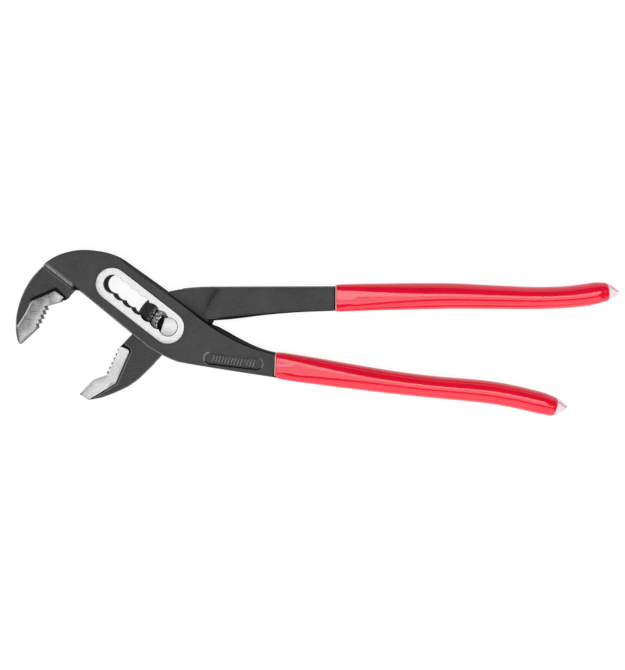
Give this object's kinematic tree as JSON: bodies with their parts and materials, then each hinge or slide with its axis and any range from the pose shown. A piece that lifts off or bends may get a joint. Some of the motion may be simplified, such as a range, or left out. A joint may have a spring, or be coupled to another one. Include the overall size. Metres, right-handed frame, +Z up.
{
  "type": "tongue and groove pliers",
  "caption": "Box-joint water pump pliers with a slotted box, an adjustable D-section pin, toothed jaws and dipped red grips.",
  "frame": {"origin": "middle of the box around the tool, on the flat surface it lies on", "axes": "+X from the jaws towards the ends of the handles, +Y from the lower handle towards the upper one, +Z up out of the surface, along the pin"},
  "size_m": [0.301, 0.0826, 0.0124],
  "materials": {
    "outer_member": "satin black coated forging, ground bright at the slot ring and the jaw's gripping face",
    "inner_member": "satin black coated forging, ground bright at the jaw's gripping face",
    "pivot_pin": "ground flush on both ends",
    "pivot_collar": "bare mottled steel",
    "upper_grip": "dipped soft vinyl, glossy",
    "lower_grip": "dipped soft vinyl, glossy"
  },
  "bodies": {
    "outer": {"outer_member": "outer_member", "lower_grip": "lower_grip"},
    "carriage": {"pivot_collar": "pivot_collar"},
    "inner": {"inner_member": "inner_member", "pivot_pin": "pivot_pin", "upper_grip": "upper_grip"}
  },
  "joints": [
    {"name": "slot_slide", "type": "slide", "parent": "outer", "child": "carriage", "axis": [-0.7891, 0.6143, 0], "range_m": [0, 0.0345]},
    {"name": "jaw_pivot", "type": "hinge", "parent": "carriage", "child": "inner", "pos_m": [-0.0743, 0.00335, 0.0062], "axis": [0, 0, 1], "range_deg": [-4.5, 72]}
  ]
}
